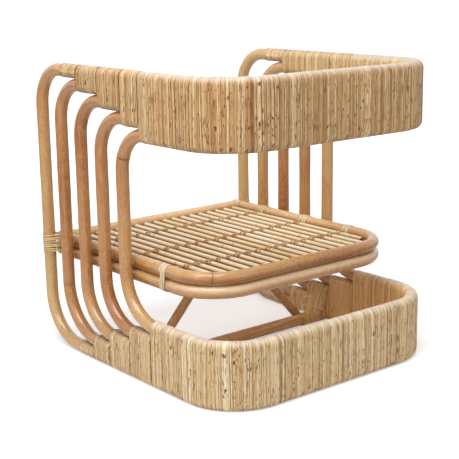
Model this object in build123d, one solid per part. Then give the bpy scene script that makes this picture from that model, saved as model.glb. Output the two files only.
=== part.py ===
"""Rattan lounge armchair frame: five nested pole loops a side, wrapped bands and a slatted deck.

Millimetres, +Z up, floor at z = 0, the sitter faces -Y, so the sitter's left hand is on +X.
"""
import os
from math import cos, pi, sin, sqrt

from build123d import *

# Frame poles: nested loops, the outermost highest, lowest and furthest forward
pole_count = 5
pole_d = 30.0
stack_gap = 0.3
side_x = 315.0
back_y = 349.1
front_y = -347.4
upright_pitch = 84.6
top_z = 683.7
plan_corner_r = 118.0
top_bend_r = 88.0
bottom_bend_r = 108.0
bottom_bend_more = (4.0, 17.0, 3.0, 2.0, 0.0)

# Band wraps: a skin of split cane round the stacked poles, stepping in as each pole joins
wrap_t = 1.5
wrap_clear = 0.2
merge_clear = 0.1
floor_cut = 0.5
top_wrap_past_bend = (22.0, 10.0, 14.0, 19.0, 3.0)
bottom_wrap_past_bend = (32.0, 1.0, 0.0, 0.0, 2.0)

# Seat rails: an upper and a lower pole, bent round the back corners
rail_d = 30.0
rail_gap = 0.6
seat_z = 262.0
seat_front_y = -333.4
seat_back_y = 246.1
seat_corner_r = 106.0

# Deck: slats front to back on three cross rails, each lashed to the side rails
slat_count = 18
slat_d = 13.5
deck_drop = 11.5
cross_d = 18.0
rear_cross_before_bend = 39.1
seat_clear = 0.2

# Floor stretcher and the two braces that prop the middle cross rail
stretcher_d = 30.0
stretcher_past_pole = 2.1
stretcher_lift = 0.3
brace_d = 23.0
brace_head_x = 32.0
brace_end_drop = 4.0

# Blind dowels: side rails to the poles behind the front ones, front rails to the side rails
dowel_d = 8.0
dowel_clear = 0.2
dowel_depth = 9.0

# Lashings: cane in unbroken turns
cane_d = 3.2
cane_clear = 0.25
cane_pitch = 3.8
corner_turns = 11
corner_tie_turns = 3
corner_tie_past_front = 12.0
rail_tie_turns = 5
binding_turns = 12
binding_end = 1.5
gap_samples = 24

# Sizes that follow from the ones above
pole_r = pole_d / 2
rail_r = rail_d / 2
slat_r = slat_d / 2
cross_r = cross_d / 2
stretcher_r = stretcher_d / 2
brace_r = brace_d / 2
stack_pitch = pole_d + stack_gap
wrap_in_r = pole_r + wrap_clear
wrap_out_r = wrap_in_r + wrap_t
bottom_z = wrap_out_r - floor_cut
cane_reach = cane_clear + cane_d
lashing_room = cane_d + 2 * cane_clear
upright_y = [front_y + upright_pitch * k for k in range(pole_count)]
rail_x = side_x - pole_r - lashing_room - rail_r
rail_pitch = rail_d + rail_gap
lower_rail_z = seat_z - rail_pitch
pair_z = (seat_z + lower_rail_z) / 2
slat_z = seat_z + rail_r - deck_drop - slat_r
slat_pitch = 2 * (rail_x - rail_r) / slat_count
cross_z = slat_z - slat_r - seat_clear - cross_r
stretcher_y = upright_y[-1] + stretcher_past_pole
stretcher_z = stretcher_r + cane_reach + stretcher_lift
stretcher_half = side_x - wrap_out_r - seat_clear
binding_x = stretcher_half - binding_end - (binding_turns * cane_pitch + cane_d) / 2
brace_foot_x = binding_x - (binding_turns * cane_pitch + cane_d) / 2 - brace_r
brace_y = stretcher_y - stretcher_r - seat_clear - brace_r
front_cross_y = (upright_y[1] + upright_y[2]) / 2
middle_cross_y = brace_y - brace_r - seat_clear - cross_r
rear_cross_y = seat_back_y - seat_corner_r - rear_cross_before_bend
cross_y = {"front": front_cross_y, "middle": middle_cross_y, "rear": rear_cross_y}

least_gaps = {}


def half_loop(k, radius):
    """Sitter's-left half of loop k: back, arm, upright, floor run and back again."""
    high = top_z - stack_pitch * k
    low = bottom_z + stack_pitch * k
    corners = [
        (0, back_y, high),
        (side_x, back_y, high),
        (side_x, upright_y[k], high),
        (side_x, upright_y[k], low),
        (side_x, back_y, low),
        (0, back_y, low),
    ]
    radii = [plan_corner_r, top_bend_r, bottom_bend_r + bottom_bend_more[k], plan_corner_r]
    path = FilletPolyline(*corners, radius=radii)
    return sweep(Plane(corners[0], z_dir=(1, 0, 0)) * Circle(radius), path=path)


def stadium(count, radius):
    """Outline round a stack of poles, its long way upright."""
    if count == 1:
        return Circle(radius)
    return SlotCenterToCenter((count - 1) * stack_pitch, 2 * radius, rotation=90)


def band_face(count, y, end_z, upward):
    """Wall of a band round its first poles, counted from the loop at end_z."""
    middle = end_z + upward * (count - 1) * stack_pitch / 2
    plane = Plane((side_x, y, middle), x_dir=(-1, 0, 0), z_dir=(0, 1, 0))
    return plane * (stadium(count, wrap_out_r) - stadium(count, wrap_in_r))


def band_wrap(end_z, upward, bends, past_bend):
    """Stepped skin: one level more each time a pole joins the stack, then round the back."""
    begins = [upright_y[k] + bends[k] + past_bend[k] for k in range(pole_count)]
    levels = []
    for k in range(pole_count - 1):
        level = extrude(band_face(k + 1, begins[k], end_z, upward), begins[k + 1] - begins[k], dir=(0, 1, 0))
        levels.append(level - half_loop(k + 1, pole_r + merge_clear))
    middle = end_z + upward * (pole_count - 1) * stack_pitch / 2
    route = [
        (side_x, begins[-1], middle),
        (side_x, back_y, middle),
        (-side_x, back_y, middle),
        (-side_x, begins[-1], middle),
    ]
    path = FilletPolyline(*route, radius=plan_corner_r)
    skin = sweep(band_face(pole_count, begins[-1], end_z, upward), path=path)
    for level in levels:
        skin = skin + level + mirror(level, about=Plane.YZ)
    return skin


def seat_rail(z):
    """Rail bent round the two back corners, open at the front."""
    front = seat_front_y - rail_r
    corners = [
        (rail_x, front, z),
        (rail_x, seat_back_y, z),
        (-rail_x, seat_back_y, z),
        (-rail_x, front, z),
    ]
    path = FilletPolyline(*corners, radius=seat_corner_r)
    return sweep(Plane(corners[0], z_dir=(0, 1, 0)) * Circle(rail_r), path=path)


def rod(start, end, radius):
    """Straight round pole between two points."""
    axis = Vector(*end) - Vector(*start)
    return extrude(Plane(start, z_dir=axis) * Circle(radius), axis.length)


def side_rail_room():
    """Space that the straight side rails and their ties take."""
    outline = SlotCenterToCenter(rail_pitch, 2 * (rail_r + lashing_room), rotation=90)
    start = seat_front_y - 2 * rail_r
    plane = Plane((rail_x, start, pair_z), x_dir=(-1, 0, 0), z_dir=(0, 1, 0))
    return extrude(plane * outline, seat_back_y - start)


def coped_rail(y, z, radius, room):
    """Straight rail across the chair, its ends hollowed to fit the side rails."""
    return rod((-rail_x, y, z), (rail_x, y, z), radius) - room - mirror(room, about=Plane.YZ)


def slat_back_end(x):
    """Where a slat meets the inner face of the back rail, which bends in at the corners."""
    face = seat_back_y - rail_r - seat_clear
    past = abs(x) + slat_r - (rail_x - seat_corner_r)
    if past <= 0:
        return face
    inner_r = seat_corner_r - rail_r - seat_clear
    return seat_back_y - seat_corner_r + sqrt(inner_r**2 - past**2)


def biarc(p0, t0, p1, t1):
    """Two arcs that leave p0 along t0 and reach p1 along t1."""
    chord = p1 - p0
    turn = 2 * (t0.dot(t1) - 1)
    along = -2 * chord.dot(t0 + t1)
    reach = chord.dot(chord)
    d = (-along - sqrt(along**2 - 4 * turn * reach)) / (2 * turn)
    if d < 0:
        d = (-along + sqrt(along**2 - 4 * turn * reach)) / (2 * turn)
    a = p0 + t0 * d
    b = p1 - t1 * d
    joint = (a + b) * 0.5
    return [TangentArc(p0, joint, tangent=t0), TangentArc(joint, p1, tangent=b - a)]


def least_gap(path, turns):
    """Clear space between turns, from points along the path at least half a turn apart."""
    count = gap_samples * turns
    points = [path @ (i / count) for i in range(count + 1)]
    apart = gap_samples // 2
    near = min((p - q).length for i, p in enumerate(points) for q in points[i + apart:])
    return near - cane_d


def winding(name, frame, radius, span, turns):
    """Cane wound in unbroken turns round one pole, or round two that lie span apart.

    The frame's Z axis is the poles' direction and its Y axis runs from one pole to the other.
    The cane climbs evenly with the length of its path, so runs and arcs meet tangentially.
    """
    mid_r = radius + cane_clear + cane_d / 2
    rise = cane_pitch / (2 * pi * mid_r + 2 * span)
    lap = [(0, -1), (0, 1), (1, 1), (2, 1), (2, -1), (3, -1)] if span else [(0, 0), (1, 0), (2, 0), (3, 0)]
    stations = lap * turns + lap[:1]
    points = []
    tangents = []
    climb = -cane_pitch * turns / 2
    for i, (quarter, side) in enumerate(stations):
        if i:
            climb += rise * (span if quarter == stations[i - 1][0] else pi * mid_r / 2)
        angle = quarter * pi / 2
        points.append(Vector(mid_r * cos(angle), mid_r * sin(angle) + side * span / 2, climb))
        tangents.append(Vector(-sin(angle), cos(angle), rise).normalized())
    edges = [Line(points[0] - tangents[0] * cane_d, points[0])]
    for i in range(len(points) - 1):
        if stations[i][0] == stations[i + 1][0]:
            edges.append(Line(points[i], points[i + 1]))
        else:
            edges += biarc(points[i], tangents[i], points[i + 1], tangents[i + 1])
    edges.append(Line(points[-1], points[-1] + tangents[-1] * cane_d))
    path = Wire([edge.edge() for edge in edges])
    least_gaps[name] = least_gap(path, turns)
    return frame * sweep(Plane(path @ 0, z_dir=path % 0) * Circle(cane_d / 2), path=path)


def mirrored(parts, name, solid):
    """Files a piece of the sitter's-left side and its mirror image."""
    parts[name + "_left"] = solid
    parts[name + "_right"] = mirror(solid, about=Plane.YZ)


def dowel(inner_face, outer_face, y, z, clear):
    """Pin across the gap between two faces, or its blind holes when clear is set."""
    start = (inner_face - dowel_depth - clear, y, z)
    end = (outer_face + dowel_depth + clear, y, z)
    return rod(start, end, dowel_d / 2 + clear)


def dowels(clear):
    """Sitter's-left dowels of each upright behind the first, then those of the front rails."""
    levels = (seat_z, lower_rail_z)
    faces = (rail_x + rail_r, side_x - pole_r)
    to_poles = [[dowel(*faces, y, z, clear) for z in levels] for y in upright_y[1:]]
    faces = (rail_x - rail_r - lashing_room, rail_x - rail_r)
    return to_poles, [dowel(*faces, seat_front_y, z, clear) for z in levels]


def drilled(solid, holes, both_sides):
    """A piece with its dowel holes, also those of the sitter's right where it spans the chair."""
    for hole in holes:
        solid = solid - hole
        if both_sides:
            solid = solid - mirror(hole, about=Plane.YZ)
    return solid


def frame_poles(parts, pole_holes):
    for k in range(pole_count):
        holes = pole_holes[k - 1] if k else []
        mirrored(parts, f"pole_{k + 1}", drilled(half_loop(k, pole_r), holes, False))


def seat_frame(parts, pole_holes, front_holes):
    side_holes = [hole for row in pole_holes for hole in row] + front_holes
    pair_room = side_rail_room()
    for name, z in (("upper", seat_z), ("lower", lower_rail_z)):
        front_rail = coped_rail(seat_front_y, z, rail_r, pair_room)
        parts[f"seat_rail_{name}"] = drilled(seat_rail(z), side_holes, True)
        parts[f"front_rail_{name}"] = drilled(front_rail, front_holes, True)
    for name, y in cross_y.items():
        parts[f"cross_rail_{name}"] = coped_rail(y, cross_z, cross_r, pair_room)
    front = seat_front_y + rail_r + seat_clear
    for i in range(slat_count):
        x = (i - (slat_count - 1) / 2) * slat_pitch
        parts[f"slat_{i + 1:02d}"] = rod((x, front, slat_z), (x, slat_back_end(x), slat_z), slat_r)


def underframe(parts):
    ends = [(side * stretcher_half, stretcher_y, stretcher_z) for side in (-1, 1)]
    parts["floor_stretcher"] = rod(ends[0], ends[1], stretcher_r)
    foot = (brace_foot_x, brace_y, stretcher_z - brace_end_drop)
    head = (brace_head_x, brace_y, cross_z - brace_end_drop)
    mirrored(parts, "brace", rod(foot, head, brace_r))


def lashings(parts):
    around_pole = Plane((side_x, front_y, pair_z))
    mirrored(parts, "corner_lashing", winding("corner_lashing", around_pole, pole_r, 0, corner_turns))

    def rail_tie(name, y, turns):
        plane = Plane((rail_x, y, pair_z), x_dir=(-1, 0, 0), z_dir=(0, 1, 0))
        mirrored(parts, name, winding(name, plane, rail_r, rail_pitch, turns))

    rail_tie("corner_tie", seat_front_y + corner_tie_past_front, corner_tie_turns)
    for row, y in cross_y.items():
        rail_tie(f"rail_tie_{row}", y, rail_tie_turns)
    along = Plane((binding_x, stretcher_y, stretcher_z), x_dir=(0, 1, 0), z_dir=(1, 0, 0))
    mirrored(parts, "stretcher_binding", winding("stretcher_binding", along, stretcher_r, 0, binding_turns))


def make():
    parts = {}
    pole_holes, front_holes = dowels(dowel_clear)
    frame_poles(parts, pole_holes)
    top_bends = [top_bend_r] * pole_count
    bottom_bends = [bottom_bend_r + more for more in bottom_bend_more]
    parts["top_band_wrap"] = band_wrap(top_z, -1, top_bends, top_wrap_past_bend)
    below_floor = Pos(0, 0, -top_z / 2) * Box(4 * side_x, 4 * back_y, top_z)
    parts["bottom_band_wrap"] = band_wrap(bottom_z, 1, bottom_bends, bottom_wrap_past_bend) - below_floor
    seat_frame(parts, pole_holes, front_holes)
    underframe(parts)
    lashings(parts)
    to_poles, pins = dowels(0)
    for row in to_poles:
        pins = pins + row
    pins = pins + [mirror(pin, about=Plane.YZ) for pin in pins]
    parts["rail_dowels"] = Compound(children=[pin.solid() for pin in pins])
    return parts


def main():
    os.makedirs("parts", exist_ok=True)
    parts = make()
    for name, shape in parts.items():
        export_step(shape, f"parts/{name}.step")
    for name, gap in least_gaps.items():
        print(f"{name}: least gap between turns {gap:.2f} mm")
    print(f"{len(parts)} nodes")


if __name__ == "__main__":
    main()
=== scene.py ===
import math

import bpy
import numpy as np
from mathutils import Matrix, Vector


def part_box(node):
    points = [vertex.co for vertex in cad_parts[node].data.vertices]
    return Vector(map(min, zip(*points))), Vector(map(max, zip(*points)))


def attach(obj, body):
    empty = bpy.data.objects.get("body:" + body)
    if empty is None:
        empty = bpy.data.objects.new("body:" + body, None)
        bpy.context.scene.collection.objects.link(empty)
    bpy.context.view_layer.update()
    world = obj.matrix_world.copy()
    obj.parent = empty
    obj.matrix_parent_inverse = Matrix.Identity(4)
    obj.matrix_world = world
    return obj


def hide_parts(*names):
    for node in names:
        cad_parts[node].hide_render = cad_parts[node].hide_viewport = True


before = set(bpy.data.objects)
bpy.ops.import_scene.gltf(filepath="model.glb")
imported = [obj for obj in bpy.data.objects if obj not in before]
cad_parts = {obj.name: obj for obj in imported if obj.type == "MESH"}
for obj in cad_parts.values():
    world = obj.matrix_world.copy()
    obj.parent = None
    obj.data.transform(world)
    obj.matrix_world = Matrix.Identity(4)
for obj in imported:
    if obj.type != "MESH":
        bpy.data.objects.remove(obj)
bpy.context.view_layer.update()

# Lengths are in metres and angles in degrees, but a material's noise cells are in millimetres.
print("frame:", len(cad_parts), "nodes")


def nodeBox(name):
    low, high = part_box(name)
    return np.array(low), np.array(high)


def boxMiddle(name):
    low, high = nodeBox(name)
    return (low + high) / 2


def boxHalf(name):
    low, high = nodeBox(name)
    return (high - low) / 2


def unit(vectors):
    return vectors / np.linalg.norm(vectors, axis=-1, keepdims=True)


# Straight runs joined by arcs: an arc meets both of its runs at radius x tan(half the turn) from the corner.
def bentRoute(corners, radii):
    corners = np.array(corners, float)
    stretches, start, length = [], corners[0], 0.0
    for i, radius in enumerate(radii, 1):
        before = unit(corners[i] - corners[i - 1])
        after = unit(corners[i + 1] - corners[i])
        turn = math.acos(float(before @ after))
        reach = radius * math.tan(turn / 2)
        arcStart = corners[i] - before * reach
        run = float(np.linalg.norm(arcStart - start))
        stretches.append((length, start, before, None, 0.0))
        stretches.append((length + run, arcStart, before, unit(after - before * (before @ after)), radius))
        length += run + radius * turn
        start = corners[i] + after * reach
    stretches.append((length, start, unit(corners[-1] - start), None, 0.0))
    return stretches, length + float(np.linalg.norm(corners[-1] - start))


# At length s a run is start + s d, and an arc is start + r sin(s/r) d + r (1 - cos(s/r)) n.
def routeAt(stretches, s):
    s = np.asarray(s, float)
    slack = 1e-9  # metres, for a length that falls on a join
    place, heading = np.zeros(s.shape + (3,)), np.zeros(s.shape + (3,))
    for first, start, ahead, inward, radius in stretches:
        here = s >= first - slack
        if first == 0:
            here = np.ones_like(here)
        t = (s[here] - first)[:, None]
        if inward is None:
            place[here] = start + t * ahead
            heading[here] = ahead
        else:
            a = t / radius
            place[here] = start + radius * (np.sin(a) * ahead + (1 - np.cos(a)) * inward)
            heading[here] = np.cos(a) * ahead + np.sin(a) * inward
    return place, heading


# Rings of points joined by quads. uv has one column more than the ring, so the seam keeps its own corner.
def ringMesh(name, grids):
    verts, faces, corners, values, base = [], [], [], {}, 0
    for grid in grids:
        points, uv = grid["points"], grid["uv"]
        rows, cols = points.shape[:2]
        index = base + np.arange(rows * cols).reshape(rows, cols)
        after = np.roll(index, -1, axis=1)
        quads = np.stack([index[:-1], after[:-1], after[1:], index[1:]], axis=-1).reshape(-1, 4)
        faces += quads.tolist() + [index[0, ::-1].tolist(), index[-1].tolist()]
        corners += [np.stack([uv[:-1, :-1], uv[:-1, 1:], uv[1:, 1:], uv[1:, :-1]], axis=2).reshape(-1, 2),
                    uv[0, :-1][::-1], uv[-1, :-1]]
        verts.append(points.reshape(-1, 3))
        for key, value in grid["values"].items():
            values.setdefault(key, []).append(np.broadcast_to(value, (rows, cols)).ravel())
        base += rows * cols
    mesh = bpy.data.meshes.new(name)
    mesh.from_pydata(np.concatenate(verts).tolist(), [], faces)
    layer = mesh.uv_layers.new(name="caneUv")
    layer.data.foreach_set("uv", np.concatenate(corners).astype(np.float32).ravel())
    for key, parts in values.items():
        attribute = mesh.attributes.new(key, "FLOAT", "POINT")
        attribute.data.foreach_set("value", np.concatenate(parts).astype(np.float32))
    mesh.polygons.foreach_set("use_smooth", np.ones(len(faces), bool))
    piece = bpy.data.objects.new(name, mesh)
    bpy.context.scene.collection.objects.link(piece)
    return piece


def dress(piece, material, slot, *nodes):
    piece.data.materials.append(material)
    if nodes:
        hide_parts(*nodes)
    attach(piece, "root")


# sRGB hex to linear: ((c + 0.055) / 1.055) ^ 2.4, or c / 12.92 in the darkest part
def linear(code):
    srgb = np.array([int(code[i:i + 2], 16) for i in (1, 3, 5)]) / 255
    return (*np.where(srgb <= 0.04045, srgb / 12.92, ((srgb + 0.055) / 1.055) ** 2.4), 1.0)


def plug(tree, node, inputs):
    for key, value in inputs.items():
        if isinstance(value, bpy.types.NodeSocket):
            tree.links.new(value, node.inputs[key])
        else:
            node.inputs[key].default_value = value


def addNode(tree, kind, inputs=None, stops=None, **settings):
    node = tree.nodes.new(kind)
    for key, value in settings.items():
        setattr(node, key, value)
    plug(tree, node, inputs or {})
    for i, (place, colour) in enumerate(stops or []):
        ramp = node.color_ramp.elements
        stop = ramp[i] if i < len(ramp) else ramp.new(place)
        stop.position, stop.color = place, linear(colour)
    return node


def freshMaterial(name):
    material = bpy.data.materials.new(name)
    material.use_nodes = True
    tree = material.node_tree
    tree.nodes.clear()
    shader = addNode(tree, "ShaderNodeBsdfPrincipled")
    addNode(tree, "ShaderNodeOutputMaterial", {"Surface": shader.outputs["BSDF"]})
    return material, tree, shader


# Split cane core, wound wet and left to dry: straw strips that differ in tone, with brown skin streaks, short
# dark flecks and a shadowed line where two strips meet. The uv is strip number + share, and metres. streak,
# stain, seam, fleck and fibre each give a cell's length in mm, its cells across a strip and the noise detail.
# The attribute inner marks a band's inside, which gets a warm painted shade; a second attribute marks the
# upper rim, which gets a painted highlight, and a third holds brown skin on slivers plus painted shade at
# shaded edges.
caneLook = {
    "tones": [(0.0, "#85552a"), (0.12, "#ae7f4b"), (0.34, "#cca773"), (0.62, "#dec08c"), (0.84, "#e9d1a1"),
              (1.0, "#f5e6c2")],
    "ownTone": 0.62, "streakTone": 0.56, "leastTone": 0.02, "stripHop": 3.7, "streak": (45.0, 1.6, 3.0),
    "stain": (34.0, 1.8, 3.0), "stainFrom": (0.61, 0.68), "stainMost": 0.85, "skin": "#80420e", "browns": 0.9,
    "seam": (28.0, 0.3, 2.0), "seamFrom": (0.30, 0.56), "seamFaint": 0.40, "seamPower": 3.2, "seamLeast": 0.0,
    "gapTone": "#40250f", "fleck": (15.0, 0.8, 2.0), "haloFrom": (0.955, 1.02), "fleckFrom": (1.045, 1.085),
    "fleckMost": 0.95, "fleckTone": "#6e3004", "mottledFrom": 0.92, "mottledMore": 0.10,
    "clusterMm": 60.0, "clusterAcross": 0.16, "clusterDetail": 2.0, "clusterShare": 0.55,
    # painted shade: a warm orange on a band's inside; painted highlight: a near white on its upper rim; each
    # with its share
    "innerShadeTone": "#fcbe6c", "innerShadeShare": 0.48, "rimHighlightTone": "#f4efe8", "rimHighlightShare": 0.42,
    "fibre": (40.0, 5.0, 2.0), "fibreStrength": 0.25, "fibreDepth": 0.0004,
    "roughness": (0.34, 0.54), "coat": 0.15, "coatRough": 0.27,
}
# The upper band: a greyer painted highlight laid more thickly on its upper rim, and a paler painted shade
# laid more thinly on its inside
upperLook = dict(
    caneLook, innerShadeTone="#f0dba8", innerShadeShare=0.24, rimHighlightTone="#cac8c2", rimHighlightShare=0.64, browns=1.0,
    mottledFrom=0.88, mottledMore=0.12, tones=[
        (0.0, "#7f4f24"), (0.12, "#a2713d"), (0.34, "#c0945d"), (0.62, "#d3ae78"), (0.84, "#e2c796"),
        (1.0, "#f2e1bf")])


def splitCane(name, look, browner):
    material, tree, shader = freshMaterial(name)
    uv = addNode(tree, "ShaderNodeUVMap", uv_map="caneUv").outputs["UV"]
    axes = addNode(tree, "ShaderNodeSeparateXYZ", {0: uv}).outputs
    strip = addNode(tree, "ShaderNodeMath", {0: axes["X"]}, operation="FLOOR").outputs[0]
    share = addNode(tree, "ShaderNodeMath", {0: axes["X"]}, operation="FRACT").outputs[0]
    dice = addNode(tree, "ShaderNodeTexWhiteNoise", {"W": strip}, noise_dimensions="1D").outputs
    hop = addNode(tree, "ShaderNodeMath", {0: strip, 1: look["stripHop"]}, operation="MULTIPLY").outputs[0]
    skinAndShade, inner, rimHighlight = [addNode(tree, "ShaderNodeAttribute", attribute_name=key).outputs["Fac"]
                          for key in ("skinAndShade", "inner", "rimHighlight")]

    def alongStrip(lengthMm, across, detail):  # noise cells lengthMm long that follow each strip
        run = addNode(tree, "ShaderNodeMath", {0: axes["Y"], 1: 1000 / lengthMm}, operation="MULTIPLY")
        side = addNode(tree, "ShaderNodeMath", {0: share, 1: across, 2: hop}, operation="MULTIPLY_ADD")
        spot = addNode(tree, "ShaderNodeCombineXYZ", {"X": side.outputs[0], "Y": run.outputs[0]}).outputs[0]
        return addNode(tree, "ShaderNodeTexNoise", {"Vector": spot, "Scale": 1.0, "Detail": detail},
                       noise_dimensions="2D").outputs["Fac"]

    # straw, by the strip's own number and its streaks
    streak = alongStrip(*look["streak"])
    least = look["leastTone"] - browner
    own = addNode(tree, "ShaderNodeMath", {0: dice["Value"], 1: look["ownTone"], 2: least},
                  operation="MULTIPLY_ADD").outputs[0]
    tone = addNode(tree, "ShaderNodeMath", {0: streak, 1: look["streakTone"], 2: own},
                   operation="MULTIPLY_ADD").outputs[0]
    cane = addNode(tree, "ShaderNodeValToRGB", {"Fac": tone}, look["tones"]).outputs["Color"]

    # brown skin, as stains along a strip and as whole slivers, and painted shade at step faces, lower rims
    # and stretch ends, in the same brown
    stain = addNode(tree, "ShaderNodeMapRange", {
        "Value": alongStrip(*look["stain"]), "From Min": look["stainFrom"][0],
        "From Max": look["stainFrom"][1], "To Max": look["stainMost"]}).outputs[0]
    patchy = addNode(tree, "ShaderNodeMapRange", {
        "Value": alongStrip(*look["seam"]), "From Min": look["seamFrom"][0],
        "From Max": look["seamFrom"][1], "To Min": look["seamFaint"]}).outputs[0]
    patchy = addNode(tree, "ShaderNodeMath", {0: patchy, 1: look["browns"]}, operation="MULTIPLY").outputs[0]
    skinAndShade = addNode(tree, "ShaderNodeMath", {0: skinAndShade, 1: patchy}, operation="MULTIPLY").outputs[0]
    stain = addNode(tree, "ShaderNodeMath", {0: stain, 1: skinAndShade}, operation="MAXIMUM").outputs[0]

    # flecks, thick in clusters and on a few mottled strips, each with a brown halo
    size = (look["clusterAcross"], 1000 / look["clusterMm"], 0)
    wide = addNode(tree, "ShaderNodeVectorMath", {0: uv, 1: size}, operation="MULTIPLY").outputs[0]
    cluster = addNode(tree, "ShaderNodeTexNoise", {
        "Vector": wide, "Scale": 1.0, "Detail": look["clusterDetail"]}, noise_dimensions="2D").outputs["Fac"]
    speck = alongStrip(*look["fleck"])
    speck = addNode(tree, "ShaderNodeMath", {0: cluster, 1: look["clusterShare"], 2: speck},
                    operation="MULTIPLY_ADD").outputs[0]
    mottled = addNode(tree, "ShaderNodeSeparateColor", {0: dice["Color"]}).outputs[0]
    mottled = addNode(tree, "ShaderNodeMapRange", {
        "Value": mottled, "From Min": look["mottledFrom"], "To Max": look["mottledMore"]}).outputs[0]
    speck = addNode(tree, "ShaderNodeMath", {0: speck, 1: mottled}, operation="ADD").outputs[0]
    halo, fleck = [addNode(tree, "ShaderNodeMapRange", {
        "Value": speck, "From Min": start, "From Max": full, "To Max": look["fleckMost"]}).outputs[0]
        for start, full in (look["haloFrom"], look["fleckFrom"])]

    # shadow at both edges of a strip, |2 share - 1| ^ power, deeper on some strips than on others
    edge = addNode(tree, "ShaderNodeMath", {0: share, 1: 2.0, 2: -1.0}, operation="MULTIPLY_ADD").outputs[0]
    edge = addNode(tree, "ShaderNodeMath", {0: edge}, operation="ABSOLUTE").outputs[0]
    seam = addNode(tree, "ShaderNodeMath", {0: edge, 1: look["seamPower"]}, operation="POWER").outputs[0]
    depth = addNode(tree, "ShaderNodeTexWhiteNoise", {"W": hop}, noise_dimensions="1D").outputs["Value"]
    depth = addNode(tree, "ShaderNodeMapRange", {"Value": depth, "To Min": look["seamLeast"]}).outputs[0]
    for factor in (depth, patchy):
        seam = addNode(tree, "ShaderNodeMath", {0: seam, 1: factor}, operation="MULTIPLY").outputs[0]
    # painted warm shade on a band's inside and painted highlight on its upper rim, each at its share
    inner, rimHighlight = [addNode(tree, "ShaderNodeMath", {0: part, 1: look[most]}, operation="MULTIPLY").outputs[0]
                   for part, most in ((inner, "innerShadeShare"), (rimHighlight, "rimHighlightShare"))]

    for factor, colour in ((stain, "skin"), (halo, "skin"), (fleck, "fleckTone"), (seam, "gapTone"),
                           (inner, "innerShadeTone"), (rimHighlight, "rimHighlightTone")):
        cane = addNode(tree, "ShaderNodeMix", {"Factor": factor, 6: cane, 7: linear(look[colour])},
                       data_type="RGBA").outputs[2]
    rough = addNode(tree, "ShaderNodeMapRange", {
        "Value": streak, "To Min": look["roughness"][0], "To Max": look["roughness"][1]}).outputs[0]
    bump = addNode(tree, "ShaderNodeBump", {
        "Height": alongStrip(*look["fibre"]), "Strength": look["fibreStrength"],
        "Distance": look["fibreDepth"]})
    plug(tree, shader, {"Base Color": cane, "Roughness": rough, "Normal": bump.outputs["Normal"],
                        "Coat Weight": look["coat"], "Coat Roughness": look["coatRough"]})
    return material


# The wraps: strips of three widths round a stack of poles, and how far past each bend a wrap step starts
wrapForm = {
    "thin": (0.0010, 0.0020), "wide": (0.0034, 0.0058), "narrow": (0.0019, 0.0032), "shares": (0.30, 0.52),
    "marks": (0, 0.14, 0.5, 0.86), "lastMark": 0.999, "numbers": (10, 900), "endGap": 0.0009,
    "groove": 0.0006, "groovePower": 4, "drop": 0.0004, "sliverDrop": 1.6,
    # brown skin on slivers and strips; painted shade on a step's exposed face and on faces that look down;
    # most of the painted rim highlight is left off the steps, and innerRise sets how far the inside's painted
    # shade reaches
    "sliverBrown": (0.45, 1.0), "stripBrown": (0, 0.12), "stepShade": 0.35, "lowerRimShade": 0.3,
    "stepHighlightCut": 0.8, "innerRise": 1.4,
    "poleReach": 0.0150, "wrapReach": 0.0166, "stackPitch": 0.0303, "planCorner": 0.118,
    "topBend": (0.088, 0.088, 0.088, 0.088, 0.088), "bottomBend": (0.112, 0.125, 0.111, 0.110, 0.108),
    "topPastBend": (0.022, 0.010, 0.014, 0.019, 0.003), "bottomPastBend": (0.032, 0.001, 0.0, 0.0, 0.002),
    "wander": 0.0005, "wanderLength": 0.09, "ripple": 0.5, "rippleRate": 5.1, "still": 0.012,
    "sideSteps": 5, "rimSteps": 12, "lowest": 0.0002, "seed": 5,
}


# A stack of poles in section: two straight sides and two half rounds, with outward normals.
def stackSection(half):
    reach = wrapForm["wrapReach"]
    side = np.linspace(-half, half, wrapForm["sideSteps"], endpoint=False)
    turn = np.linspace(0, math.pi, wrapForm["rimSteps"], endpoint=False)
    normalOut = np.concatenate([1 + 0 * side, np.cos(turn), -1 + 0 * side, -np.cos(turn)])
    normalUp = np.concatenate([0 * side, np.sin(turn), 0 * side, -np.sin(turn)])
    middle = np.concatenate([side, half + 0 * turn, -side, -half + 0 * turn])
    out, up = reach * normalOut, middle + reach * normalUp
    step = np.hypot(np.diff(np.append(out, out[0])), np.diff(np.append(up, up[0])))
    return out, up, normalOut, normalUp, np.concatenate([[0], np.cumsum(step)])


# Strips side by side from first to last: at each place along the route, the strip number + share, how far the
# surface lies under the fullest strip and how brown it is: the skin of slivers and strips, and painted shade
# at both ends of a stretch. Between two strips it dips by groove x |2 share - 1| ^ 4; a whole strip lies a
# little lower by chance, and a sliver lowest of all.
def stripRows(first, last, rng):
    form = wrapForm
    most = int((last - first) / form["narrow"][0]) + 2
    kind = np.digitize(rng.random(most), form["shares"])  # 0 is thin, 1 wide and 2 narrow
    widths = np.choose(kind, [rng.uniform(*form[key], most) for key in ("thin", "wide", "narrow")])
    edges = np.concatenate([[0], np.cumsum(widths)])
    count = int(np.searchsorted(edges, last - first))
    edges = first + edges[:count + 1] * (last - first) / edges[count]
    marks = np.array(form["marks"])
    s = (edges[:-1, None] + marks * np.diff(edges)[:, None]).ravel()
    number, share = np.repeat(np.arange(count), len(marks)), np.tile(marks, count)
    sliver = kind[:count] == 0
    drop = np.where(sliver, form["sliverDrop"], rng.random(count)) * form["drop"]
    skinAndShade = np.where(sliver, *[rng.uniform(*form[key], count) for key in ("sliverBrown", "stripBrown")])
    drop, skinAndShade = np.repeat(drop, len(marks)), np.repeat(skinAndShade, len(marks))
    # painted shade in the crack between two steps, where a stretch begins and ends
    skinAndShade[:2] = skinAndShade[-1] = 1  # dark where the stretch begins and ends
    lift = -drop - form["groove"] * np.abs(2 * share - 1) ** form["groovePower"]
    return (np.append(s, last), np.append(number + share, count - 1 + form["lastMark"]),
            np.append(lift, -form["groove"]), np.append(skinAndShade, 1))


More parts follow.
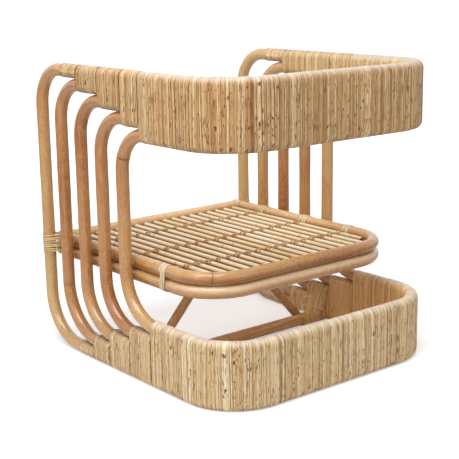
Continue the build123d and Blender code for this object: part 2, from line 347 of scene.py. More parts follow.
# The strips' rows carried round the stack's section. A strip wanders along the route by sin a + ripple
# sin 2 a, where a turns once round the section, and the stretch's two ends are tucked down to the poles.
def wrapStretch(route, first, last, levels, topZ, downward, rng):
    form = wrapForm
    first, last = first + form["endGap"], last - form["endGap"]
    s, stripUv, lift, skinAndShade = stripRows(first, last, rng)
    half = form["stackPitch"] * (levels - 1) / 2
    out, up, normalOut, normalUp, girth = stackSection(half)
    turn, rippleTurn = rng.uniform(0, 2 * math.pi, 3)[:2]  # the third draw is spare
    around, along = 2 * math.pi * girth[:-1] / girth[-1], s[:, None] / form["wanderLength"]
    swing = np.sin(around + turn + 2 * math.pi * along)
    swing = swing + form["ripple"] * np.sin(2 * around + rippleTurn + form["rippleRate"] * along)
    hold = np.clip(np.minimum(s - first, last - s) / form["still"], 0, 1)[:, None]
    flat = (s[:, None] + form["wander"] * hold * swing).ravel()
    place, heading = [part.reshape(len(s), len(out), 3) for part in routeAt(route, flat)]
    aside = np.cross([0, 0, 1], heading)
    points = place + aside * (out + lift[:, None] * normalOut)[..., None]
    points[..., 2] = topZ + (-half if downward else half) + up + lift[:, None] * normalUp
    points[..., 2] = np.maximum(points[..., 2], form["lowest"])
    pull = (form["wrapReach"] - form["poleReach"]) * np.stack([normalOut, normalUp], axis=-1)
    tuck = points[[0, -1]] - aside[[0, -1]] * pull[None, :, :1]
    tuck[..., 2] -= pull[None, :, 1]
    points = np.concatenate([tuck[:1], points, tuck[1:]])
    stripUv, skinAndShade = [np.pad(part, 1, mode="edge")[:, None] for part in (stripUv, skinAndShade)]
    uv = np.stack(np.broadcast_arrays(stripUv + rng.integers(*form["numbers"]), girth), axis=-1)
    step = levels < len(form["topBend"])
    # painted shade on the exposed face of a step, next to the poles of the step beyond it, and on faces that
    # look down
    shaded = step * form["stepShade"] * np.clip(-normalUp if downward else normalUp, 0, 1) ** 2
    shaded = shaded + form["lowerRimShade"] * np.clip(-normalUp, 0, 1) ** 2
    # painted highlight on faces that look up, mostly left off the steps, which lie in shade
    rimHighlight = (1 - step * form["stepHighlightCut"]) * np.clip(normalUp, 0, 1) ** 2
    # painted warm shade on the band's inside, on faces that look inwards
    inner = np.clip(-form["innerRise"] * normalOut, 0, 1)
    return {"points": points, "uv": uv, "values": {"inner": inner, "rimHighlight": rimHighlight, "skinAndShade": skinAndShade + shaded}}


# Where the poles' centre lines run, from the boxes of the left ones; the right ones mirror them
poleNames = {side: [f"pole_{k}_{side}" for k in range(1, 6)] for side in ("left", "right")}
poleRadius = wrapForm["poleReach"]
poleBoxes = [nodeBox(name) for name in poleNames["left"]]
sideX = float(poleBoxes[0][1][0]) - poleRadius
backY = float(poleBoxes[0][1][1]) - poleRadius
uprightY = [float(low[1]) + poleRadius for low, high in poleBoxes]
highZ = [float(high[2]) - poleRadius for low, high in poleBoxes]
lowZ = [float(low[2]) + poleRadius for low, high in poleBoxes]


# A step has one pole more than the step in front of it, on both sides; the last stretch goes round the back.
def bandWrap(name, band, material):
    form = wrapForm
    rng = np.random.default_rng(form["seed"] + len(name))
    begin = [y + bend + past for y, bend, past in zip(uprightY, form[band + "Bend"], form[band + "PastBend"])]
    front = begin[0]
    plan = [(-sideX, front, 0), (-sideX, backY, 0), (sideX, backY, 0), (sideX, front, 0)]
    route, length = bentRoute(plan, [form["planCorner"]] * 2)
    stretches = []
    for level in range(1, len(begin)):
        near, far = begin[level - 1] - front, begin[level] - front
        stretches += [(near, far, level), (length - far, length - near, level)]
    stretches.append((begin[-1] - front, length - begin[-1] + front, len(begin)))
    topZ = highZ[0] if band == "top" else lowZ[0]
    grids = [wrapStretch(route, *stretch, topZ, band == "top", rng) for stretch in stretches]
    piece = ringMesh(name + "_cane", grids)
    dress(piece, material, "split_cane_wrap", name)
    print(piece.name, len(piece.data.polygons), "faces")


bandWrap("top_band_wrap", "top", splitCane("splitCaneUpper", upperLook, 0.05))
bandWrap("bottom_band_wrap", "bottom", splitCane("splitCaneLower", caneLook, -0.05))


# Rattan pole, scraped, bent over steam and varnished: a smooth tan skin with faint lengthwise streaks, darker
# at the thin ring of each knot. tone says how red and dark one pole is; the uv is turn and metres. streak and
# mottle each give a cell's length in mm, the cells across the pole's radius and the noise detail.
rattanLook = {
    "tones": [(0.0, "#d0a970"), (0.35, "#c2925a"), (0.65, "#b57a42"), (1.0, "#965726")],
    "streak": (140.0, 3.6, 4.0), "streakTone": 0.85, "mottle": (26.0, 0.9, 3.0), "mottleTone": 0.30,
    "toneHop": 57.0,
    "flankShade": "#c9ab8d", "flankShadeShare": 0.0, "flankShadeFrom": (0.80, 0.05), "knot": "#5e3519",
    "grainStrength": 0.12, "grainDepth": 0.0006, "roughness": (0.22, 0.34), "shine": 0.5,
    "coat": 0.75, "coatRough": 0.16,
}


def varnishedRattan(name, look):
    material, tree, shader = freshMaterial(name)
    uv = addNode(tree, "ShaderNodeUVMap", uv_map="caneUv").outputs["UV"]
    axes = addNode(tree, "ShaderNodeSeparateXYZ", {0: uv}).outputs
    turn = addNode(tree, "ShaderNodeMath", {0: axes["X"], 1: 2 * math.pi}, operation="MULTIPLY").outputs[0]
    circle = [addNode(tree, "ShaderNodeMath", {0: turn}, operation=kind).outputs[0]
              for kind in ("COSINE", "SINE")]
    tone, knot = [addNode(tree, "ShaderNodeAttribute", attribute_name=key).outputs["Fac"]
                  for key in ("tone", "knot")]
    hop = addNode(tree, "ShaderNodeMath", {0: tone, 1: look["toneHop"]}, operation="MULTIPLY").outputs[0]

    def alongPole(lengthMm, around, detail):  # noise on a cylinder whose cells are lengthMm long
        run = addNode(tree, "ShaderNodeMath", {0: axes["Y"], 1: 1000 / lengthMm, 2: hop},
                      operation="MULTIPLY_ADD").outputs[0]
        ring = [addNode(tree, "ShaderNodeMath", {0: part, 1: around}, operation="MULTIPLY").outputs[0]
                for part in circle]
        spot = addNode(tree, "ShaderNodeCombineXYZ", {"X": ring[0], "Y": ring[1], "Z": run}).outputs[0]
        noise = addNode(tree, "ShaderNodeTexNoise", {"Vector": spot, "Scale": 1.0, "Detail": detail})
        return noise.outputs["Fac"]

    streak, mottle = alongPole(*look["streak"]), alongPole(*look["mottle"])
    for part, most in ((streak, look["streakTone"]), (mottle, look["mottleTone"])):
        tone = addNode(tree, "ShaderNodeMath", {0: tone, 1: -most / 2}, operation="ADD").outputs[0]
        tone = addNode(tree, "ShaderNodeMath", {0: part, 1: most, 2: tone},
                       operation="MULTIPLY_ADD").outputs[0]  # tone + most x (part - 1/2)
    skin = addNode(tree, "ShaderNodeValToRGB", {"Fac": tone}, look["tones"]).outputs["Color"]
    # painted shade: the flanks, turned away from each ring's first point, are multiplied by a darker colour,
    # and the crown stays pale
    flankShade = addNode(tree, "ShaderNodeMapRange", {
        "Value": circle[0], "From Min": look["flankShadeFrom"][0], "From Max": look["flankShadeFrom"][1],
        "To Max": look["flankShadeShare"]}).outputs[0]
    for factor, colour, blend in ((flankShade, "flankShade", "MULTIPLY"), (knot, "knot", "MIX")):
        skin = addNode(tree, "ShaderNodeMix", {"Factor": factor, 6: skin, 7: linear(look[colour])},
                       data_type="RGBA", blend_type=blend).outputs[2]
    rough = addNode(tree, "ShaderNodeMapRange", {
        "Value": mottle, "To Min": look["roughness"][0], "To Max": look["roughness"][1]}).outputs[0]
    bump = addNode(tree, "ShaderNodeBump", {
        "Height": streak, "Strength": look["grainStrength"], "Distance": look["grainDepth"]})
    plug(tree, shader, {"Base Color": skin, "Roughness": rough, "Normal": bump.outputs["Normal"],
                        "Coat Weight": look["coat"], "Coat Roughness": look["coatRough"],
                        "Specular IOR Level": look["shine"]})
    return material


rattanSkin = varnishedRattan("varnishedRattan", rattanLook)
# Rails: paler tones, with painted shade on their flanks below the pale crown
railSkin = varnishedRattan("varnishedRattanShadedFlanks", dict(
    rattanLook, tones=[(0.0, "#f2d3aa"), (0.35, "#e2bb8a"), (0.65, "#cd9d5e"), (1.0, "#b4783c")],
    flankShadeShare=0.85, coat=0.5))

poleForm = {
    "knotMargin": 0.02, "knotSpan": 2.6, "knotRings": 15, "grooveAt": 1.2, "grooveWidth": 0.35,
    "stainAt": 0.6, "endRings": (0, 0.0004, 0.0012, 0.003), "endCut": 0.001, "endRound": 0.0012,
    "swells": (0.41, 0.17), "shades": (0.83, 0.31), "secondShade": 0.6, "footHeight": 0.24, "footFade": 0.13,
}
noKnots, noFade = ((), ()), ((0, 1), (0, 0))
phaseMost = 6.0  # radians, most of a turn, for waves that may start anywhere


# A round pole carried along its route: centre + r(s) (cos a n1 + sin a n2). The radius is the pole's own,
# with slow swells, a raised lip at each knot and a fine groove beside it; the last millimetre is rounded off.
# bold adds knots at given lengths, paleFoot pales the pole near the floor and fade shifts its tone by length.
# lean in a look is the way that each ring's first point faces, and so the crown of a rail or slat, which
# stays pale while its flanks take painted shade.
def polePiece(name, route, length, radius, tone, look, rng, bold=noKnots, paleFoot=0.0, fade=noFade):
    form, gap = poleForm, look["knotGap"]
    knots = np.cumsum(rng.uniform(*gap, int(length / gap[0]) + 2)) - rng.uniform(0, gap[0])
    weight = rng.uniform(*look["faint"], len(knots))
    keep = (knots > form["knotMargin"]) & (knots < length - form["knotMargin"])
    knots, weight = np.append(knots[keep], bold[0]), np.append(weight[keep], bold[1])
    near = look["knotWidth"] * np.linspace(-form["knotSpan"], form["knotSpan"], form["knotRings"])
    ends = np.array(form["endRings"])
    even = np.linspace(0, length, int(length / look["step"]) + 2)
    s = np.concatenate([even, (knots[:, None] + near).ravel(), ends, length - ends])
    s = np.unique(np.round(s[(s >= 0) & (s <= length)], 5))  # rings within 0.01 mm become one
    place, heading = routeAt(route, s)
    aside = unit(look["lean"] - (heading @ np.array(look["lean"]))[:, None] * heading)
    across = np.cross(heading, aside)
    spans = form["swells"] + form["shades"]
    waves = [np.sin(2 * math.pi * s / span + start)
             for span, start in zip(spans, rng.uniform(0, phaseMost, len(spans)))]
    away = (s[:, None] - knots) / look["knotWidth"]
    lip = (weight * np.exp(-away ** 2)).sum(1)
    groove = (weight * np.exp(-((away - form["grooveAt"]) / form["grooveWidth"]) ** 2)).sum(1)
    stain = (weight * np.exp(-((away - form["stainAt"]) / look["stainWidth"]) ** 2)).sum(1)
    r = radius * (1 - look["slim"]) + look["swell"] * (waves[0] + waves[1])
    r = r + look["knotRise"] * lip - look["knotCut"] * groove
    r = r - form["endCut"] * np.clip(1 - np.minimum(s, length - s) / form["endRound"], 0, 1) ** 2
    a = np.linspace(0, 2 * math.pi, look["sides"], endpoint=False)
    rim = np.cos(a)[:, None] * aside[:, None] + np.sin(a)[:, None] * across[:, None]
    points = place[:, None] + r[:, None, None] * rim
    uv = np.stack(np.broadcast_arrays(np.linspace(0, 1, look["sides"] + 1)[None], s[:, None]), axis=-1)
    shade = tone + look["drift"] * (waves[2] + form["secondShade"] * waves[3]) + np.interp(s / length, *fade)
    shade = shade - paleFoot * np.clip((form["footHeight"] - place[:, 2]) / form["footFade"], 0, 1)
    knot = np.clip(look["stain"] * stain + look["line"] * groove, 0, 1)
    values = {"tone": shade[:, None], "knot": knot[:, None]}
    return ringMesh(name + "_rattan", [{"points": points, "uv": uv, "values": values}])


# A straight pole from end to end of its node's box, at height z
def straightPole(name, axis, z, radius, tone, look, rng):
    low, high = nodeBox(name)
    ends = np.tile((low + high) / 2, (2, 1))
    ends[:, axis], ends[:, 2] = (low[axis], high[axis]), z
    route, length = bentRoute(ends, [])
    return polePiece(name, route, length, radius, tone, look, rng)


poleLook = {
    "knotGap": (0.34, 0.62), "faint": (0.05, 0.35), "knotWidth": 0.0022, "knotRise": 0.0003,
    "knotCut": 0.0005, "stain": 0.25, "stainWidth": 1.6, "line": 0.8, "swell": 0.00012, "slim": 0.012,
    "drift": 0.10, "step": 0.007, "sides": 28, "lean": (0.577, 0.577, 0.577), "seed": 21,
    "tones": {"left": (0.36, 0.64, 0.66, 0.66, 0.60), "right": (0.06, 0.36, 0.72, 0.64, 0.40)},
    "bold": {"pole_5_left": ((0.636,), (2.2,)), "pole_1_left": ((0.880,), (0.5,))},
    "paleFoot": {"pole_1_left": 0.28, "pole_3_left": 0.15, "pole_5_left": 0.60},
}


def framePoles():
    corner = wrapForm["planCorner"]
    for side, sign in (("left", 1), ("right", -1)):
        rng = np.random.default_rng(poleLook["seed"] + sign)
        look = dict(poleLook, lean=np.array(poleLook["lean"]) * (sign, 1, 1))
        x = sign * sideX
        for k, name in enumerate(poleNames[side]):
            loop = [(0, backY, highZ[k]), (x, backY, highZ[k]), (x, uprightY[k], highZ[k]),
                    (x, uprightY[k], lowZ[k]), (x, backY, lowZ[k]), (0, backY, lowZ[k])]
            bends = [corner, wrapForm["topBend"][k], wrapForm["bottomBend"][k], corner]
            route, length = bentRoute(loop, bends)
            piece = polePiece(name, route, length, poleRadius, poleLook["tones"][side][k], look, rng,
                              poleLook["bold"].get(name, noKnots), poleLook["paleFoot"].get(name, 0.0))
            dress(piece, rattanSkin, "frame_pole", name)
    print("frame poles made")


framePoles()

railLook = dict(
    poleLook, seed=31, radius=0.015, corner=0.106, lean=(0.1, 0.1, 0.98), tones={"upper": 0.76, "lower": 0.0},
    bold={"upper": ((0.5765,), (0.7,)), "lower": noKnots}, frontLess=0.40,
    fade={"upper": ((0, 0.6, 0.85, 1), (0, 0, -0.24, -0.24)),
          "lower": ((0, 0.28, 0.40, 1), (0.45, 0.45, 0, 0))})


def seatRails():
    rng = np.random.default_rng(railLook["seed"])
    for layer in ("upper", "lower"):
        name, front = "seat_rail_" + layer, "front_rail_" + layer
        r, tone = railLook["radius"], railLook["tones"][layer]
        low, high = nodeBox(name)
        x, back, z = high[0] - r, high[1] - r, boxMiddle(name)[2]
        plan = [(x, low[1], z), (x, back, z), (-x, back, z), (-x, low[1], z)]
        route, length = bentRoute(plan, [railLook["corner"]] * 2)
        piece = polePiece(name, route, length, r, tone, railLook, rng, railLook["bold"][layer],
                          fade=railLook["fade"][layer])
        dress(piece, railSkin, "seat_pole", name)
        piece = straightPole(front, 0, z, r, tone - railLook["frontLess"], railLook, rng)
        dress(piece, railSkin, "seat_pole", front)
    print("seat rails made")


seatRails()

deckRows = ("front", "middle", "rear")  # of cross rails, side ties and slat lashings
underLook = dict(
    poleLook, seed=41, lean=(0.1, 0.1, 0.98), tones={"stretcher": 0.58, "brace": 0.46, "cross": 0.70},
    drop=0.002, braceFoot=(0.2363, -0.0336, 0.01475), braceHead=(0.032, -0.0336, 0.2388), braceRadius=0.0115)
stretcherY, stretcherZ = boxMiddle("floor_stretcher")[1:] - (0, underLook["drop"])
stretcherR = boxHalf("floor_stretcher")[2]


def underframe():
    rng = np.random.default_rng(underLook["seed"])
    tones, name = underLook["tones"], "floor_stretcher"
    piece = straightPole(name, 0, stretcherZ, stretcherR, tones["stretcher"], underLook, rng)
    dress(piece, rattanSkin, "underframe_pole", name)
    for row in deckRows:
        name = "cross_rail_" + row
        piece = straightPole(name, 0, boxMiddle(name)[2], boxHalf(name)[1], tones["cross"], underLook, rng)
        dress(piece, rattanSkin, "cross_pole", name)
    for side, sign in (("left", 1), ("right", -1)):
        name = "brace_" + side
        ends = np.array([underLook["braceFoot"], underLook["braceHead"]]) * (sign, 1, 1)
        route, length = bentRoute(ends, [])
        piece = polePiece(name, route, length, underLook["braceRadius"], tones["brace"], underLook, rng)
        dress(piece, rattanSkin, "underframe_pole", name)
    print("underframe made")


underframe()

# Thin whole rattan, peeled and left pale: cream straw with a faint ring at every knot; its crown stays pale
# and its flanks are painted golden brown as painted shade. It has no varnish, so it shines little.
slatLook = dict(
    rattanLook, tones=[(0.0, "#f2e9d0"), (0.4, "#e8d7ac"), (0.75, "#d6b67a"), (1.0, "#bf8d48")],
    flankShade="#bf7a20", flankShadeShare=0.94, knot="#8e4c25", streak=(120.0, 3.6, 4.0), mottle=(40.0, 0.9, 3.0),
    roughness=(0.34, 0.48), shine=0.22, coat=0.0, knotGap=(0.16, 0.30), faint=(0.1, 0.6), knotWidth=0.0026,
    knotRise=0.0004, knotCut=0.0003, stain=0.5, stainWidth=1.5, line=0.5, swell=0.00015, slim=0.03,
    drift=0.08, step=0.009, sides=20, lean=(0.1, 0.1, 0.98), seed=51, tone=(0.1, 0.5))
slatSkin = varnishedRattan("peeledRattan", slatLook)
slatNames = sorted(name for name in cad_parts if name.startswith("slat_"))


def deckSlats():
    rng = np.random.default_rng(slatLook["seed"])
    for name in slatNames:
        z, r, tone = boxMiddle(name)[2], boxHalf(name)[2], rng.uniform(*slatLook["tone"])
        piece = straightPole(name, 1, z, r, tone, slatLook, rng)
        dress(piece, slatSkin, "deck_slat", name)
    print("slats made:", len(slatNames))


deckSlats()

# Lashings of the same cane, split flat: pale cream strips round the joints, redder ones over the slats.
lashLook = dict(
    caneLook, innerShadeShare=0.0, seamLeast=0.75, gapTone="#6b3d17", fleckMost=0.0, streak=(25.0, 1.6, 3.0),
    stain=(60.0, 1.8, 3.0), width=0.0046, thick=0.0012, play=0.0003, sides=12, shareEnds=(0.001, 0.999),
    seed=61, tones=[
        (0.0, "#a87440"), (0.2, "#c99c5e"), (0.5, "#dfbe80"), (0.8, "#ead09a"), (1.0, "#f4e5be")])
deckLashLook = dict(
    lashLook, width=0.0037, reach=0.007, jitter=0.004, layer=0.0003, spread=(-0.004, -0.004, 0.004, 0.004),
    slants=(1, -1, 1, -1), darks=(0.5, 0.1, 0.0, 0.4), turnUp=105.0, turnDown=120.0, steps=15, number=20,
    nextNumber=7, slatPlay=0.0001, seed=62, tones=[
        (0.0, "#a8642e"), (0.3, "#c98a4a"), (0.6, "#dbaa6c"), (0.85, "#ecce9c"), (1.0, "#f7ead0")])
paleCane = splitCane("splitCanePale", lashLook, -0.26)
creamCane = splitCane("splitCaneCream", lashLook, -0.30)
# The stretcher binding: the same pale cane made browner and warmer as painted shade, for its place low inside
# the frame; its loose ends stay pale
shadedBindingLook = dict(lashLook, innerShadeShare=0.15, seamLeast=0.9, gapTone="#3a1c08")
shadedBindingCane = splitCane("splitCaneShadedBinding", shadedBindingLook, 0.22)
redCane = splitCane("splitCaneRed", deckLashLook, -0.08)


# A flat strip on a path: path + side (w / 2) c(a) + outward (t / 2) (1 + d(a)), where c and d are the signed
# square roots of cos a and sin a, so that the section is a bar with rounded edges that lies on its flat.
def stripGrid(path, outward, look, number, skinAndShade=0.0):
    heading = unit(np.gradient(path, axis=0))
    outward = unit(outward - (outward * heading).sum(1, keepdims=True) * heading)
    side = np.cross(outward, heading)
    a = np.linspace(0, 2 * math.pi, look["sides"], endpoint=False)
    wide = np.sign(np.cos(a)) * np.sqrt(np.abs(np.cos(a)))
    high = 1 + np.sign(np.sin(a)) * np.sqrt(np.abs(np.sin(a)))
    points = path[:, None] + look["width"] / 2 * wide[:, None] * side[:, None]
    points = points + look["thick"] / 2 * high[:, None] * outward[:, None]
    run = np.concatenate([[0], np.cumsum(np.linalg.norm(np.diff(path, axis=0), axis=1))])
    share = np.clip(0.5 + 0.5 * np.append(wide, wide[0]), *look["shareEnds"])
    uv = np.stack(np.broadcast_arrays(number + share[None], run[:, None]), axis=-1)
    return {"points": points, "uv": uv, "values": {"inner": 1.0, "skinAndShade": skinAndShade}}


windForm = {"loopSteps": (30, 20), "turnSteps": 44, "swayRate": 2.3, "tiltRate": (0.94, 1.06), "apart": 1e-6}


# The taut loop round two circles is an arc on each, joined by tangents: centre + r (cos t e1 + sin t e2).
# Wound up, it moves along its axis by one pitch a turn and sways a little; tilt leans the turns to cross.
def woundStrip(centres, radii, axes, axis, winding, look, number, rng):
    (first, second), (r1, r2), (e1, e2) = np.array(centres, float), radii, np.array(axes, float)
    firstSteps, secondSteps = windForm["loopSteps"]
    towards = second - first
    lean = math.atan2(towards @ e2, towards @ e1)
    half = math.acos((r1 - r2) / max(np.linalg.norm(towards), windForm["apart"]))
    t = lean + np.concatenate([np.linspace(half, 2 * math.pi - half, firstSteps),
                               np.linspace(-half, half, secondSteps), [half]])
    normal = np.cos(t)[:, None] * e1 + np.sin(t)[:, None] * e2
    loop = np.where(np.arange(len(t))[:, None] < firstSteps, first + r1 * normal, second + r2 * normal)
    loop[-1] = loop[0]
    along = np.concatenate([[0], np.cumsum(np.linalg.norm(np.diff(loop, axis=0), axis=1))])
    turns = winding["turns"]
    u = np.linspace(0, turns, int(turns * windForm["turnSteps"]) + 1)
    at = (u % 1) * along[-1]
    path, outward = [np.stack([np.interp(at, along, column) for column in part.T], axis=-1)
                     for part in (loop, normal)]
    sway = look["play"] * np.sin(windForm["swayRate"] * u + rng.uniform(0, phaseMost))
    sway = sway + winding["tilt"] * np.cos(2 * math.pi * u * rng.uniform(*windForm["tiltRate"]))
    path = path + ((u - turns / 2) * winding["pitch"] + sway)[:, None] * np.array(axis, float)
    return stripGrid(path, outward, look, number)


jointLook = {
    "corner": {"turns": 8.3, "pitch": 0.0055, "tilt": 0.0, "width": 0.0041, "play": 0.0007, "r": 0.0153,
               "tail": (0.3005, -0.323), "tailR": 0.0022, "lift": 0.0060, "number": 3},
    "cornerTie": {"turns": 2.6, "pitch": 0.0050, "tilt": 0.0},
    "railTie": {"turns": 3.3, "pitch": 0.0059, "tilt": 0.0032},
    "binding": {"turns": 16.5, "pitch": 0.0049, "tilt": 0.0, "middle": 0.2565, "number": 9},
    "clear": 0.0001,
}
# overBand and roundFoot give the angles that an arc runs from and to, and its steps
drapeLook = {
    "count": 17, "bandY": (-0.060, 0.012), "footX": (0.2190, 0.2950), "footJitter": 0.0015,
    "width": (0.0030, 0.0046), "overBand": (100, 20, 10), "roundFoot": (50, -90, 16), "leanSteps": 16,
    "bandClear": 0.0002, "footClear": 0.0004, "bow": 0.002, "lift": 0.0009, "liftIn": 4, "liftOut": 3,
    "number": 40,
}
looseLook = {
    "width": 0.0018, "thick": 0.0009, "steps": 24, "outward": (-1, 0.7, 0.5), "number": 70, "curves": [
        [(0.262, -0.030, 0.066), (0.215, -0.018, 0.070), (0.226, 0.004, 0.036)],
        [(0.255, -0.024, 0.060), (0.226, -0.006, 0.082), (0.262, -0.008, 0.070)],
        [(0.244, -0.012, 0.052), (0.205, -0.010, 0.052), (0.232, 0.004, 0.034)],
        [(0.290, 0.006, 0.052), (0.262, 0.012, 0.056), (0.268, 0.011, 0.028)],
        [(0.288, 0.010, 0.034), (0.258, 0.013, 0.044), (0.254, 0.008, 0.050)],
        [(0.276, 0.006, 0.050), (0.284, 0.013, 0.040), (0.262, 0.011, 0.030)]],
}


# The binding's strips go over the shoulder of the band's third step, lean inwards to the stretcher and go
# half round it: an arc, a straight run and an arc, each strip a little further along band and stretcher.
def drapedStrips(sign, rng):
    drape, count = drapeLook, drapeLook["count"]
    bandY = np.linspace(*drape["bandY"], count)
    footX = np.linspace(*drape["footX"], count) + rng.uniform(-1, 1, count) * drape["footJitter"]
    over, turn = [np.radians(np.linspace(*drape[part])) for part in ("overBand", "roundFoot")]
    shoulder = np.stack([-np.cos(over), 0 * over, np.sin(over)], axis=-1)
    ankle = np.stack([0 * turn, np.cos(turn), np.sin(turn)], axis=-1)
    lean = np.linspace(0, 1, drape["leanSteps"])[1:-1, None]
    outward = np.concatenate([shoulder, shoulder[-1] * (1 - lean) + ankle[0] * lean, ankle]) * (sign, 1, 1)
    way = np.linspace(0, 1, len(outward))[:, None]
    lifted = np.clip(drape["liftIn"] * way, 0, 1) * np.clip(drape["liftOut"] * (1 - way), 0, 1)
    grids = []
    for i in range(count):
        start = (sideX, bandY[i], lowZ[2]) + (wrapForm["wrapReach"] + drape["bandClear"]) * shoulder
        foot = (footX[i], stretcherY, stretcherZ) + (stretcherR + drape["footClear"]) * ankle
        bow = (0, drape["bow"] * rng.uniform(-1, 1), 0) * np.sin(math.pi * lean)
        path = np.concatenate([start, start[-1] * (1 - lean) + foot[0] * lean + bow, foot]) * (sign, 1, 1)
        path = path + outward * drape["lift"] * rng.random() * lifted
        look = dict(lashLook, width=rng.uniform(*drape["width"]))
        grids.append(stripGrid(path, outward, look, drape["number"] + i))
    return grids


# The loose ends are curves a (1 - t)^2 + 2 b t (1 - t) + c t^2 that stand off the bundle.
def looseEnds(sign):
    look = dict(lashLook, **looseLook)
    t = np.linspace(0, 1, look["steps"])[:, None]
    outward = np.tile(look["outward"], (look["steps"], 1)) * (sign, 1, 1)
    paths = [np.array(a) * (1 - t) ** 2 + 2 * np.array(b) * t * (1 - t) + np.array(c) * t ** 2
             for a, b, c in look["curves"]]
    return [stripGrid(path * (sign, 1, 1), outward, look, look["number"]) for path in paths]


def jointLashings():
    rng = np.random.default_rng(lashLook["seed"])
    across, ahead, up = np.eye(3)
    corner, binding, clear = jointLook["corner"], jointLook["binding"], jointLook["clear"]
    ties = [("corner_tie_", "cornerTie")] + [(f"rail_tie_{row}_", "railTie") for row in deckRows]
    railX = nodeBox("seat_rail_upper")[1][0] - railLook["radius"]
    railZ = [boxMiddle("seat_rail_" + layer)[2] for layer in ("upper", "lower")]
    railR = railLook["radius"] + clear
    bindingR = stretcherR + clear
    for side, sign in (("left", 1), ("right", -1)):
        middle = sum(railZ) / 2 + corner["lift"]
        tail = (sign * corner["tail"][0], corner["tail"][1], middle)
        look = dict(lashLook, width=corner["width"], play=corner["play"])
        grid = woundStrip([(sign * sideX, uprightY[0], middle), tail], (corner["r"], corner["tailR"]),
                          (across, ahead), up, corner, look, corner["number"] + sign, rng)
        name = "corner_lashing_" + side
        dress(ringMesh(name + "_cane", [grid]), creamCane, "lashing_cane", name)
        for stem, tie in ties:
            name = stem + side
            centres = [(sign * railX, boxMiddle(name)[1], height) for height in railZ]
            grid = woundStrip(centres, (railR, railR), (across, up), ahead, jointLook[tie], lashLook,
                              len(stem) + sign, rng)
            dress(ringMesh(name + "_cane", [grid]), paleCane, "lashing_cane", name)
        centre = np.array([sign * binding["middle"], stretcherY, stretcherZ])
        grid = woundStrip([centre, centre + windForm["apart"] * ahead], (bindingR, bindingR), (ahead, up),
                          across, binding, lashLook, binding["number"] + sign, rng)
        name = "stretcher_binding_" + side
        piece = ringMesh(name + "_cane", [grid] + drapedStrips(sign, rng))
        dress(piece, shadedBindingCane, "lashing_cane", name)
        dress(ringMesh("stretcher_binding_ends_" + side, looseEnds(sign)), paleCane, "lashing_cane")
    print("joint lashings made")


jointLashings()


# Four strands run along each cross rail. A strand goes over a slat on the slant, a part turn of radius slat +
# layer about the slat's axis, then under the rail on a part turn about the rail's axis to the next slat. The
# strands slant by turns, so that they cross on every crown.
def deckLashings():
    look = deckLashLook
    rng = np.random.default_rng(look["seed"])
    middles = np.array([boxMiddle(name) for name in slatNames])
    slatX, slatZ = middles[:, 0], middles[0, 2]
    slatR = boxHalf(slatNames[0])[2] + look["slatPlay"]
    gap = np.append(np.diff(slatX), slatX[1] - slatX[0])[:, None]
    step = np.linspace(0, 1, look["steps"])
    over = np.radians(np.linspace(-look["turnUp"], look["turnUp"], look["steps"]))
    under = np.radians(np.linspace(look["turnDown"], -look["turnDown"], look["steps"])) - math.pi / 2
    for row in deckRows:
        y, z = boxMiddle("cross_rail_" + row)[1:]
        railR = boxHalf("cross_rail_" + row)[1] + look["play"]
        grids = []
        for strand, slant in enumerate(look["slants"]):
            lift = look["layer"] * strand
            jitter = rng.uniform(-look["jitter"], look["jitter"], len(slatX))
            shift = (look["spread"][strand] + jitter)[:, None]
            r, underR = slatR + lift, railR + lift
            crown = np.stack(np.broadcast_arrays(
                slatX[:, None] + r * np.sin(over), y + shift + slant * look["reach"] * over / over[-1],
                slatZ + r * np.cos(over)), axis=-1)
            edge = r * math.sin(over[-1])
            dip = np.stack(np.broadcast_arrays(
                slatX[:, None] + edge + (gap - 2 * edge) * step, y + slant * underR * np.cos(under),
                z + underR * np.sin(under)), axis=-1)
            path = np.concatenate([crown, dip], axis=1).reshape(-1, 3)[:-look["steps"]]
            normals = np.concatenate([np.stack([np.sin(over), 0 * over, np.cos(over)], axis=-1),
                                      np.stack([0 * under, slant * np.cos(under), np.sin(under)], axis=-1)])
            normals = np.tile(normals, (len(slatX), 1))[:-look["steps"]]
            number = look["number"] + look["nextNumber"] * strand + len(row)
            grids.append(stripGrid(path, normals, look, number, look["darks"][strand]))
        dress(ringMesh(f"slat_lashing_{row}", grids), redCane, "lashing_cane")
    print("slat lashings made")


deckLashings()


# Hardwood dowels, turned and left raw: light brown wood with a fine grain, hidden inside the rails.
dowelLook = {"tones": [(0.3, "#b98a58"), (0.7, "#d6b083")], "grainMm": 4.0, "roughness": 0.6}


def dowelWood():
    material, tree, shader = freshMaterial("rawDowelWood")
    spot = addNode(tree, "ShaderNodeTexCoord").outputs["Object"]
    scale = 1000 / dowelLook["grainMm"]
    grain = addNode(tree, "ShaderNodeTexNoise", {"Vector": spot, "Scale": scale}).outputs["Fac"]
    tone = addNode(tree, "ShaderNodeValToRGB", {"Fac": grain}, dowelLook["tones"]).outputs["Color"]
    plug(tree, shader, {"Base Color": tone, "Roughness": dowelLook["roughness"]})
    return material


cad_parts["rail_dowels"].data.materials.clear()
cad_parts["rail_dowels"].data.materials.append(dowelWood())

# The camera that fits the photo's outline: place in metres, turn in degrees, sensor and lens in millimetres
cameraLook = {"place": (1.640, 2.0024, 0.899), "turn": (76.8333, 0.8721, 140.8175), "sensor": 36.0,
              "lens": 86.157}
lens = bpy.data.cameras.new("camera")
lens.sensor_width, lens.lens, lens.sensor_fit = cameraLook["sensor"], cameraLook["lens"], "HORIZONTAL"
camera = bpy.data.objects.new("camera", lens)
camera.location = cameraLook["place"]
camera.rotation_euler = [math.radians(angle) for angle in cameraLook["turn"]]
bpy.context.scene.collection.objects.link(camera)
bpy.context.scene.camera = camera

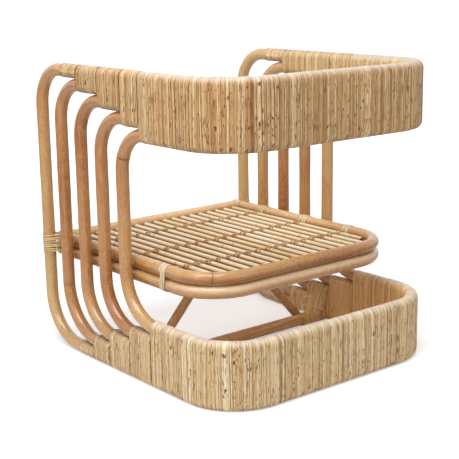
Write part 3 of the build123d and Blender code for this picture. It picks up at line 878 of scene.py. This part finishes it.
studio = {
    "world": 0.30, "sky": (1, 1, 1, 1), "floorSize": 14.0, "floor": "#f4f3f1",
    "glowNear": 0.42, "glowFar": 1.0, "glowReach": (0.9, 2.6), "lamps": {
        "overhead": {"place": (0.8, 0.5, 2.4), "aim": (0, 0, 0.3), "size": 1.8, "watts": 54},
        "leftBank": {"place": (2.5, 0.3, 1.5), "aim": (0, 0, 0.4), "size": 1.6, "watts": 12},
        "rightBank": {"place": (-0.8, 3.0, 1.4), "aim": (0, 0, 0.35), "size": 1.6, "watts": 10.5},
    },
}


# White where it is seen, reflected or looked through, and a dimmer light on everything else
def studioSky():
    world = bpy.data.worlds.new("studio")
    world.use_nodes = True
    tree = world.node_tree
    tree.nodes.clear()
    seen = addNode(tree, "ShaderNodeLightPath").outputs
    white = seen["Is Camera Ray"]
    for ray in ("Is Transmission Ray", "Is Glossy Ray"):
        white = addNode(tree, "ShaderNodeMath", {0: white, 1: seen[ray]}, operation="MAXIMUM").outputs[0]
    level = addNode(tree, "ShaderNodeMapRange", {"Value": white, "To Min": studio["world"], "To Max": 1.0})
    sky = addNode(tree, "ShaderNodeBackground", {"Strength": level.outputs[0], "Color": studio["sky"]})
    addNode(tree, "ShaderNodeOutputWorld", {"Surface": sky.outputs[0]})
    return world


# Matt white paint that takes the shadow, with a glow that grows away from the chair and only the camera sees
def floorPaint():
    material = bpy.data.materials.new("paintedFloor")
    material.use_nodes = True
    tree = material.node_tree
    tree.nodes.clear()
    seen = addNode(tree, "ShaderNodeLightPath").outputs
    spot = addNode(tree, "ShaderNodeTexCoord").outputs["Object"]
    away = addNode(tree, "ShaderNodeVectorMath", {0: spot}, operation="LENGTH").outputs["Value"]
    reach = addNode(tree, "ShaderNodeMapRange", {
        "Value": away, "From Min": studio["glowReach"][0], "From Max": studio["glowReach"][1],
        "To Min": studio["glowNear"], "To Max": studio["glowFar"]}, interpolation_type="SMOOTHSTEP")
    glow = addNode(tree, "ShaderNodeMath", {0: seen["Is Camera Ray"], 1: reach.outputs[0]},
                   operation="MULTIPLY")
    paint = addNode(tree, "ShaderNodeBsdfDiffuse", {"Color": linear(studio["floor"])})
    light = addNode(tree, "ShaderNodeEmission", {"Strength": glow.outputs[0]})
    both = addNode(tree, "ShaderNodeAddShader", {0: paint.outputs[0], 1: light.outputs[0]})
    addNode(tree, "ShaderNodeOutputMaterial", {"Surface": both.outputs[0]})
    return material


def buildStudio():
    scene = bpy.context.scene
    scene.view_settings.view_transform = "Standard"
    scene.world = studioSky()
    half = studio["floorSize"] / 2
    mesh = bpy.data.meshes.new("floor")
    corners = [(-half, -half, 0), (half, -half, 0), (half, half, 0), (-half, half, 0)]
    mesh.from_pydata(corners, [], [(0, 1, 2, 3)])
    mesh.materials.append(floorPaint())
    floor = bpy.data.objects.new("floor", mesh)
    scene.collection.objects.link(floor)
    for name, lamp in studio["lamps"].items():
        light = bpy.data.lights.new(name, "AREA")
        light.energy, light.size = lamp["watts"], lamp["size"]
        holder = bpy.data.objects.new(name, light)
        holder.location = lamp["place"]
        towards = np.array(lamp["aim"], float) - np.array(lamp["place"], float)
        dip = math.atan2(math.hypot(towards[0], towards[1]), -towards[2])
        holder.rotation_euler = (dip, 0, math.atan2(towards[1], towards[0]) - math.pi / 2)
        scene.collection.objects.link(holder)
    print("studio ready")


buildStudio()
